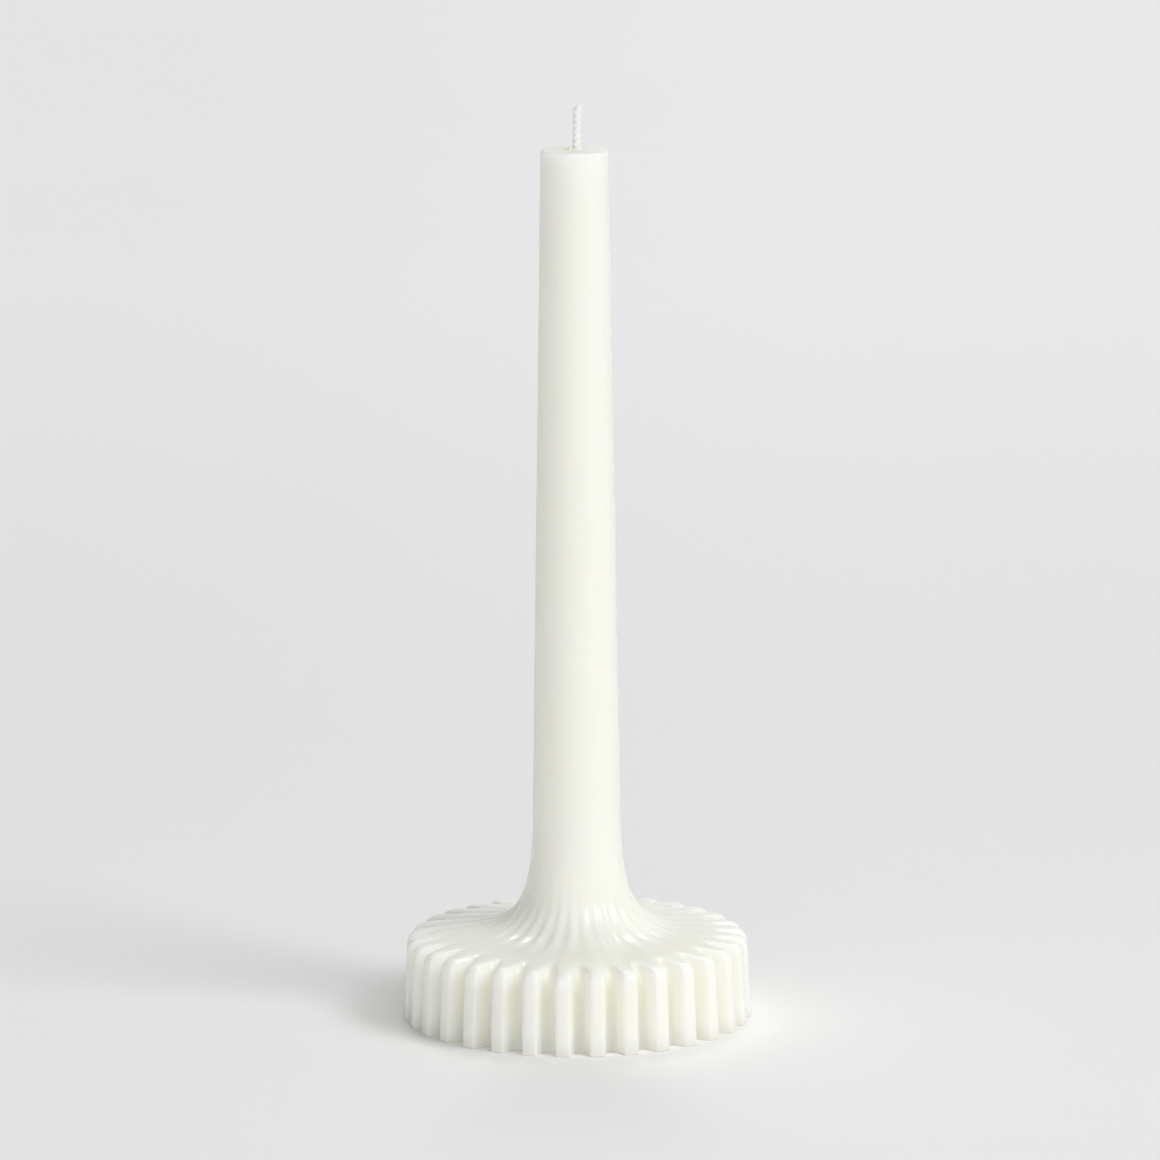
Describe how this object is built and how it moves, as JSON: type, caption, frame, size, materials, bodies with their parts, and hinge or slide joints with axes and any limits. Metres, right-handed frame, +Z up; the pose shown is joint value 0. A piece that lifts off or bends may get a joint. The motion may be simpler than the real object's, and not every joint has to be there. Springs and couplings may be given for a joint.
{
  "type": "taper candle",
  "caption": "Free-standing taper candle: a slender wax stem on its own broad fluted foot, with a braided wick through it.",
  "frame": {"origin": "centre of the underside that the candle stands on", "axes": "+Z up along the stem, -Y towards the front as pictured, +X to the right"},
  "size_m": [0.0946, 0.0946, 0.2506],
  "materials": {
    "wax": "ivory candle wax, smooth, softly glossy and translucent",
    "wick_cotton": "braided cotton primed with white wax, unburnt",
    "clip_steel": "tinned sheet steel"
  },
  "bodies": {
    "root": {"wax_body": "wax", "wick": "wick_cotton", "wick_clip": "clip_steel"}
  },
  "joints": []
}
